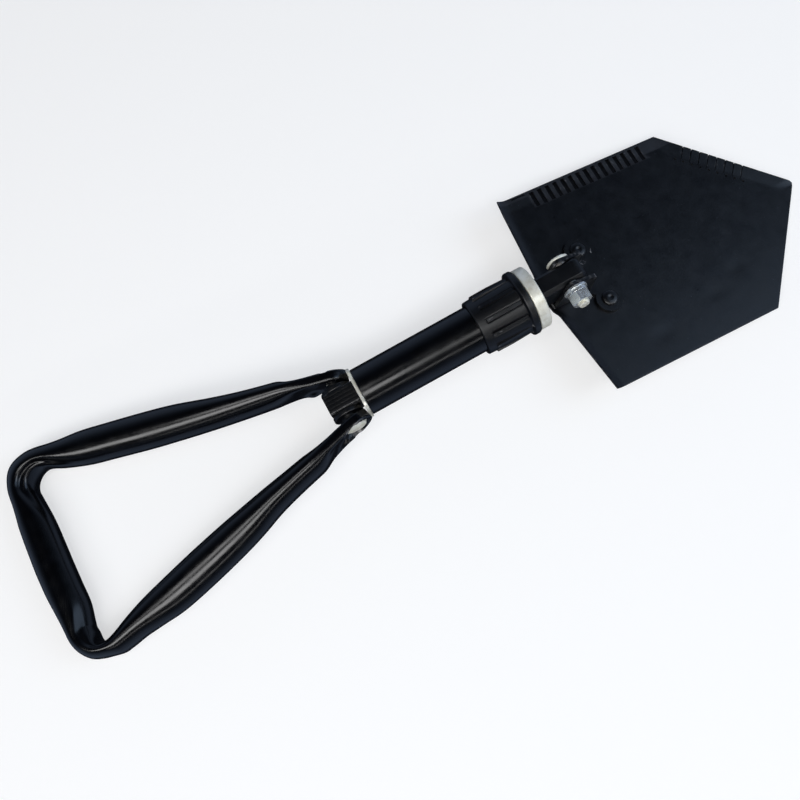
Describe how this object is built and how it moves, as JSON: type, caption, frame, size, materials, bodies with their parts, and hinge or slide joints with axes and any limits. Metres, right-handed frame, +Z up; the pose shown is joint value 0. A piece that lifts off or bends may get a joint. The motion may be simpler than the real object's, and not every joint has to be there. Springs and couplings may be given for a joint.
{
  "type": "folding camp shovel",
  "caption": "Folding shovel with a pentagonal blade, a screw collar that locks the blade hinge, a tubular shaft and a folding triangular tube handle.",
  "frame": {"origin": "on the ground under the middle of the tool's length, as it lies open on its grip and blade tip", "axes": "+X along the tool from the handle to the blade's tip, +Y across towards the serrated edge, +Z up"},
  "size_m": [0.5822, 0.1552, 0.0643],
  "materials": {
    "black_paint": "satin black enamel",
    "collar_black": "satin black enamel",
    "zinc_plate": "dull warm zinc plating",
    "bright_plate": "bright plating",
    "bare_steel": "bare machined steel"
  },
  "bodies": {
    "shaft": {"shaft_tube": "black_paint", "neck_plate": "zinc_plate", "neck_block": "black_paint", "shaft_head": "black_paint", "head_pin": "bare_steel", "thread_sleeve": "bare_steel"},
    "handle": {"handle_frame": "black_paint", "handle_rivet": "zinc_plate", "neck_bushes": "black_paint", "rivet_washers": "zinc_plate"},
    "ring": {"collar_ring": "zinc_plate", "ring_clip": "bare_steel"},
    "collar": {"lock_collar": "collar_black", "collar_nut": "bare_steel"},
    "blade": {"blade": "black_paint", "hinge_bracket": "black_paint", "bracket_rivets": "black_paint", "pivot_bolt": "zinc_plate", "pivot_sleeve": "bare_steel", "bolt_washer": "bright_plate", "lock_washer": "bright_plate", "pivot_nut": "bright_plate"}
  },
  "joints": [
    {"name": "handle_fold", "type": "hinge", "parent": "shaft", "child": "handle", "pos_m": [-0.06904, 0, 0.03074], "axis": [0, 1, 0], "range_deg": [0, 178]},
    {"name": "blade_fold", "type": "hinge", "parent": "shaft", "child": "blade", "pos_m": [0.09427, 0, 0.04933], "axis": [0, -1, 0], "range_deg": [0, 192.3]},
    {"name": "ring_slide", "type": "slide", "parent": "shaft", "child": "ring", "axis": [0.9963, 0, 0.0859], "range_m": [0, 0.00401]},
    {"name": "collar_turn", "type": "hinge", "parent": "ring", "child": "collar", "pos_m": [0.05052, 0, 0.04105], "axis": [0.9963, 0, 0.0859], "range_deg": [0, 480]}
  ],
  "couplings": [
    {"joint": "ring_slide", "follows": "collar_turn", "m_per_rad": 0.00047746}
  ]
}
